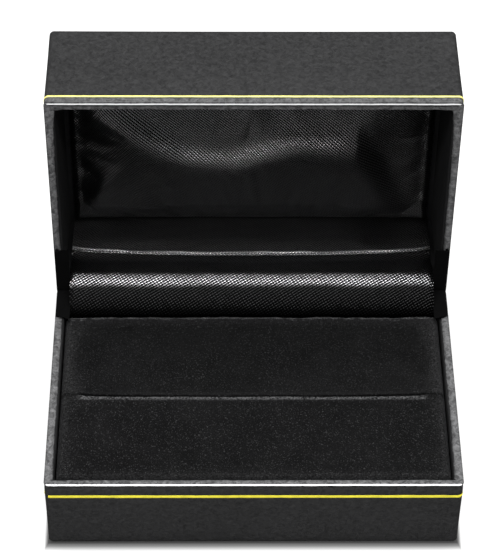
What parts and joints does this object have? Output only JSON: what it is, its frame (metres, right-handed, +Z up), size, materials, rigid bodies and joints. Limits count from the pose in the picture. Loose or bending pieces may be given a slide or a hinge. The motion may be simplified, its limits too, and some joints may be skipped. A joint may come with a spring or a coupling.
{
  "type": "jewelry box",
  "caption": "Hinged double ring box in black leatherette over steel shells, with a satin-lined lid, a slotted velvet ring pad and a gold foil line round each half.",
  "frame": {"origin": "centre of the base's underside, on the surface that the box stands on", "axes": "+X to the right along the hinge, front towards -Y, +Z up; the lid stands open, its stored pose"},
  "size_m": [0.076, 0.0706, 0.0651],
  "materials": {
    "leatherette": "satin",
    "black_steel": "satin",
    "gold_foil": "gloss",
    "bottom_paper": "matte",
    "black_card": "matte",
    "grey_board": "matte",
    "foam": "matte",
    "velvet": "matte",
    "hinge_steel": "satin",
    "spring_steel": "satin",
    "wadding": "matte",
    "satin": "gloss"
  },
  "bodies": {
    "base": {"base_shell": "black_steel", "base_wrap": "leatherette", "base_gold_line": "gold_foil", "base_bottom_sheet": "bottom_paper", "base_liner": "black_card", "insert_board": "grey_board", "front_pad_foam": "foam", "rear_pad_foam": "foam", "ring_pad_velvet": "velvet", "base_hinge_leaf": "hinge_steel", "base_hinge_rivets": "hinge_steel", "hinge_pin": "hinge_steel", "snap_spring": "spring_steel", "satin_hinge_strip": "satin"},
    "lid": {"lid_shell": "black_steel", "lid_wrap": "leatherette", "lid_gold_line": "gold_foil", "lid_liner": "black_card", "lid_pad_board": "grey_board", "lid_pad_wadding": "wadding", "lid_satin_pad": "satin", "lid_satin_flap": "satin", "lid_hinge_leaf": "hinge_steel", "lid_hinge_rivets": "hinge_steel"}
  },
  "joints": [
    {"name": "lid_hinge", "type": "hinge", "parent": "base", "child": "lid", "pos_m": [0, 0.0233, 0.0173], "axis": [1, 0, 0], "range_deg": [0, 92], "deforming": ["snap_spring", "satin_hinge_strip"]}
  ]
}
